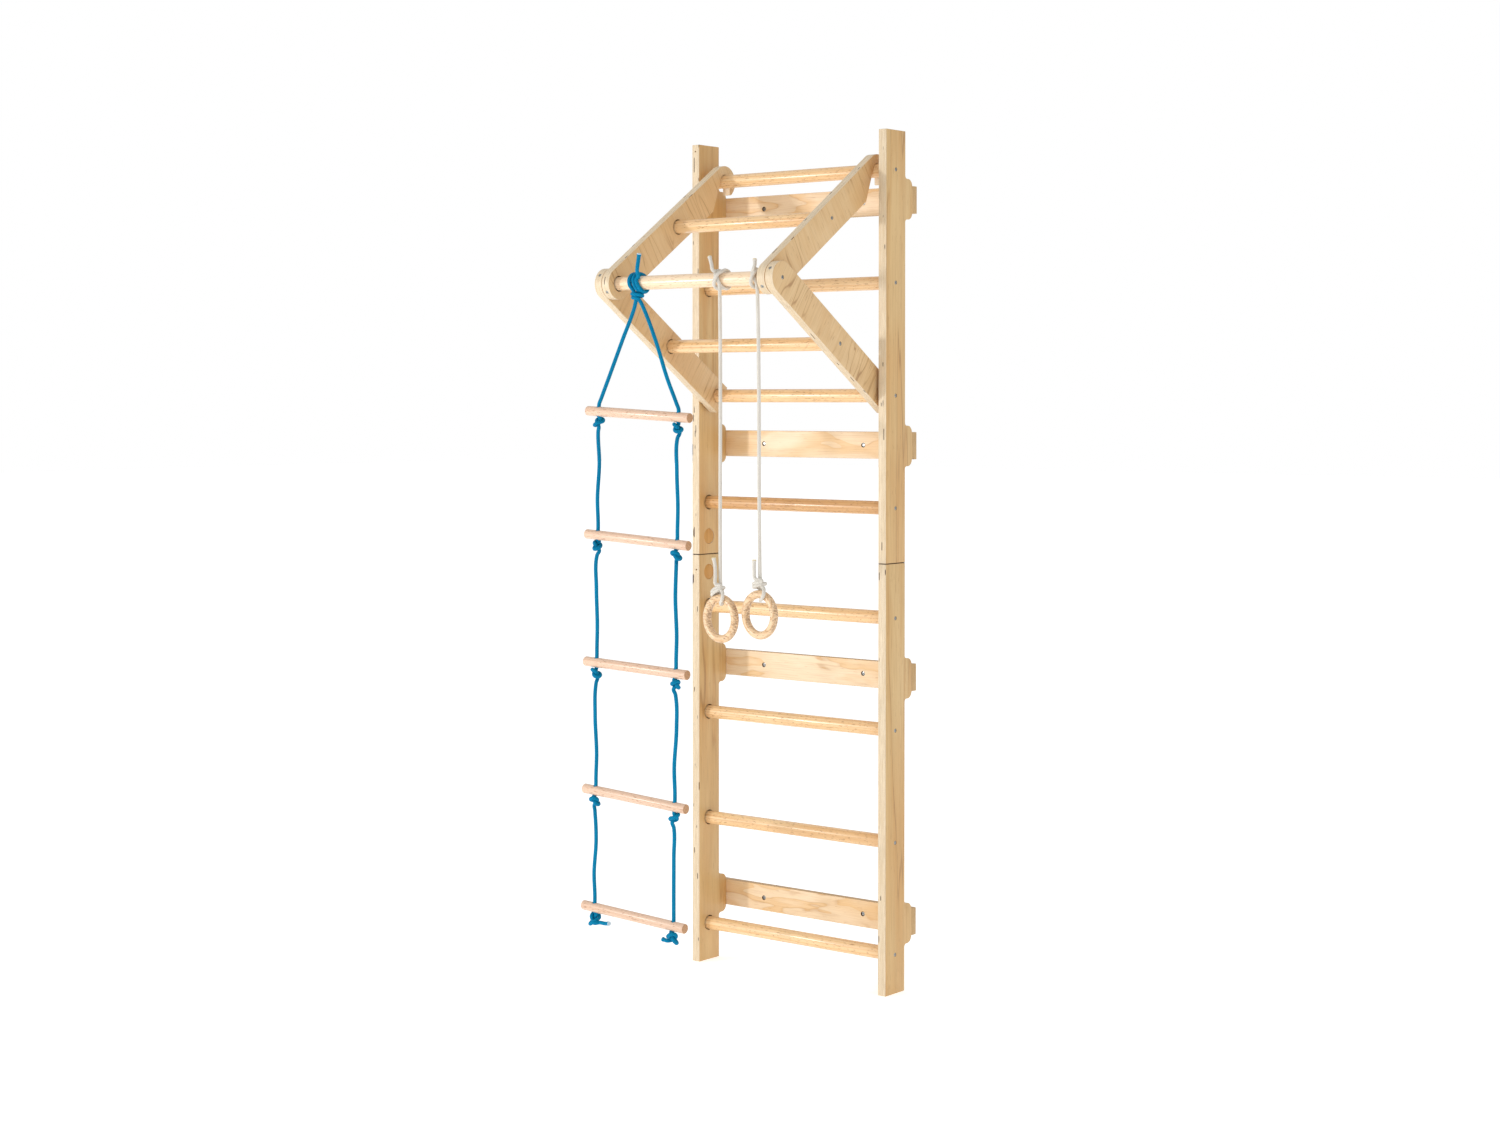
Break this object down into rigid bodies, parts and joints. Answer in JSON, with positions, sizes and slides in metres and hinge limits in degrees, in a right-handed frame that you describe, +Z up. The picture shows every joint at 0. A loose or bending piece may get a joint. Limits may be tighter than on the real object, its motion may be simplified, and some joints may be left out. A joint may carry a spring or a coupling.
{
  "type": "wall bars with pull-up frame",
  "caption": "Wall-mounted wooden climbing ladder with a hang-on V-shaped pull-up frame, a knotted rope ladder and gymnastic rings on ropes.",
  "frame": {"origin": "middle of the lowest wall board's rear face, where the object meets the wall", "axes": "+Z up, +Y into the wall, +X to the right of someone who faces the object"},
  "size_m": [0.6858, 0.5625, 2.2],
  "materials": {
    "plywood": "clear lacquered birch plywood",
    "beech": "clear lacquered beech",
    "pale_beech": "sanded pale beech",
    "pine": "planed pine",
    "cap_wood": "stained wood disc",
    "zinc_steel": "zinc plated",
    "blue_rope": "braided blue polypropylene",
    "white_rope": "braided white polyester"
  },
  "bodies": {
    "wall_ladder": {"joint_bolt_left": "zinc_steel", "joint_bolt_right": "zinc_steel", "joint_cap_lower_left": "cap_wood", "joint_cap_lower_right": "cap_wood", "joint_cap_upper_left": "cap_wood", "joint_cap_upper_right": "cap_wood", "joint_nut_left": "zinc_steel", "joint_nut_right": "zinc_steel", "rail_lower_left": "plywood", "rail_lower_right": "plywood", "rail_upper_left": "plywood", "rail_upper_right": "plywood", "wall_board_1": "pine", "wall_board_2": "pine", "wall_board_3": "pine", "wall_board_4": "pine", "wall_rung_1": "beech", "wall_rung_2": "beech", "wall_rung_3": "beech", "wall_rung_4": "beech", "wall_rung_5": "beech", "wall_rung_6": "beech", "wall_rung_7": "beech", "wall_rung_8": "beech"},
    "upper_frame": {"bar_end_screw_left": "zinc_steel", "bar_end_screw_right": "zinc_steel", "cross_rung_screw_upper_left": "zinc_steel", "cross_rung_screw_upper_right": "zinc_steel", "lock_screw_upper_left": "zinc_steel", "lock_screw_upper_right": "zinc_steel", "pull_up_bar": "beech", "upper_arm_left": "plywood", "upper_arm_right": "plywood", "upper_cross_rung": "beech"},
    "lower_frame": {"cross_rung_screw_lower_left": "zinc_steel", "cross_rung_screw_lower_right": "zinc_steel", "lock_screw_lower_left": "zinc_steel", "lock_screw_lower_right": "zinc_steel", "lower_arm_left": "plywood", "lower_arm_right": "plywood", "lower_cross_rung": "beech"},
    "rope_ladder": {"ladder_hitch": "blue_rope", "ladder_rope_left": "blue_rope", "ladder_rope_right": "blue_rope", "ladder_rung_1": "pale_beech", "ladder_rung_2": "pale_beech", "ladder_rung_3": "pale_beech", "ladder_rung_4": "pale_beech", "ladder_rung_5": "pale_beech"},
    "ring_rope_left": {"ring_hitch_left": "white_rope", "ring_loop_left": "white_rope", "ring_rope_left": "white_rope"},
    "ring_rope_right": {"ring_hitch_right": "white_rope", "ring_loop_right": "white_rope", "ring_rope_right": "white_rope"},
    "ring_left": {"ring_left": "pale_beech"},
    "ring_right": {"ring_right": "pale_beech"}
  },
  "joints": [
    {"name": "frame_lift", "type": "hinge", "parent": "wall_ladder", "child": "upper_frame", "pos_m": [0, -0.093, 1.928], "axis": [-1, 0, 0], "range_deg": [0, 35]},
    {"name": "brace_fold", "type": "hinge", "parent": "upper_frame", "child": "lower_frame", "pos_m": [0, -0.519, 1.639], "axis": [-1, 0, 0], "range_deg": [-22, 0]},
    {"name": "ladder_swing", "type": "hinge", "parent": "upper_frame", "child": "rope_ladder", "pos_m": [-0.171, -0.519, 1.639], "axis": [-1, 0, 0], "range_deg": [-12, 30]},
    {"name": "ring_swing_left", "type": "hinge", "parent": "upper_frame", "child": "ring_rope_left", "pos_m": [0.101, -0.519, 1.639], "axis": [-1, 0, 0], "range_deg": [-20, 40]},
    {"name": "ring_swing_right", "type": "hinge", "parent": "upper_frame", "child": "ring_rope_right", "pos_m": [0.217, -0.519, 1.639], "axis": [-1, 0, 0], "range_deg": [-20, 40]},
    {"name": "ring_tilt_left", "type": "hinge", "parent": "ring_rope_left", "child": "ring_left", "pos_m": [0.114, -0.5419, 0.857], "axis": [-0.9903, 0.1392, 0], "range_deg": [-25, 25]},
    {"name": "ring_tilt_right", "type": "hinge", "parent": "ring_rope_right", "child": "ring_right", "pos_m": [0.236, -0.5419, 0.873], "axis": [-0.9903, 0.1392, 0], "range_deg": [-25, 25]}
  ],
  "couplings": [
    {"joint": "brace_fold", "follows": "frame_lift", "ratio": -0.615}
  ]
}
